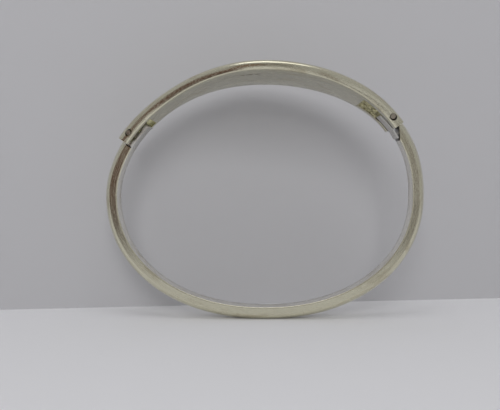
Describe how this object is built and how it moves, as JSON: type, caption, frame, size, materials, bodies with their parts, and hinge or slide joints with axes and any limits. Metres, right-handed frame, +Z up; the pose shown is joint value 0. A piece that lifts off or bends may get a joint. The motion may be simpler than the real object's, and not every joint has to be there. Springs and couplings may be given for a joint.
{
  "type": "bangle bracelet",
  "caption": "Hinged oval bangle whose wide front plate tapers to a narrow back band, with a pinned hinge and a tongue clasp that hooks a catch pin.",
  "frame": {"origin": "bottom centre of the bounding box, on the flat where the back band stands", "axes": "+X towards the hinge, +Y along the axis of the ring, +Z up through the crown of the front plate"},
  "size_m": [0.065, 0.0188, 0.0515],
  "materials": {
    "plate_silver": "polished silver, worn, faint scratches",
    "band_silver": "polished silver, worn",
    "pin_silver": "filed pin heads",
    "fitting_silver": "satin silver fittings",
    "solder": "rough, yellowish silver solder"
  },
  "bodies": {
    "back_half": {"back_band": "band_silver", "hinge_knuckle": "fitting_silver", "clasp_tongue": "fitting_silver"},
    "front_half": {"front_plate": "plate_silver", "hinge_pin": "pin_silver", "catch_pin": "pin_silver", "hinge_strip": "fitting_silver", "strip_solder": "solder"}
  },
  "joints": [
    {"name": "hinge_open", "type": "hinge", "parent": "back_half", "child": "front_half", "pos_m": [0.02514, 0, 0.0408], "axis": [0, 1, 0], "range_deg": [0, 75]}
  ]
}
